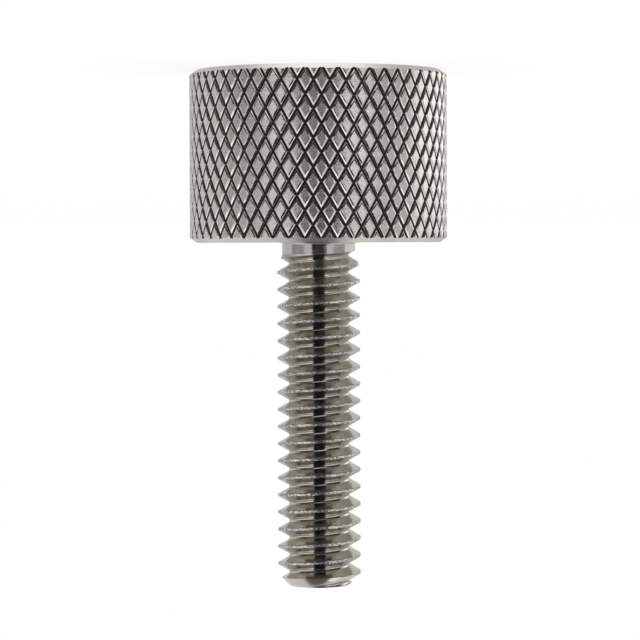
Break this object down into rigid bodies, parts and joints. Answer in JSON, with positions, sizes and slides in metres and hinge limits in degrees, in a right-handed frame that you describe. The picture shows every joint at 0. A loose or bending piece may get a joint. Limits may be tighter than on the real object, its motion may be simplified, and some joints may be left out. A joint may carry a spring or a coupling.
{
  "type": "thumb screw",
  "caption": "Turned thumb screw with a tall diamond-knurled round head, a short plain neck and a right-hand threaded shank with a chamfered flat tip.",
  "frame": {"origin": "centre of the flat top of the head, on which the screw stands", "axes": "+Z along the screw's axis, from the top of the head to the tip of the shank"},
  "size_m": [0.019, 0.019, 0.0381],
  "materials": {
    "steel": "bright turned and knurled stainless steel"
  },
  "bodies": {
    "root": {"thumb_screw": "steel"}
  },
  "joints": []
}
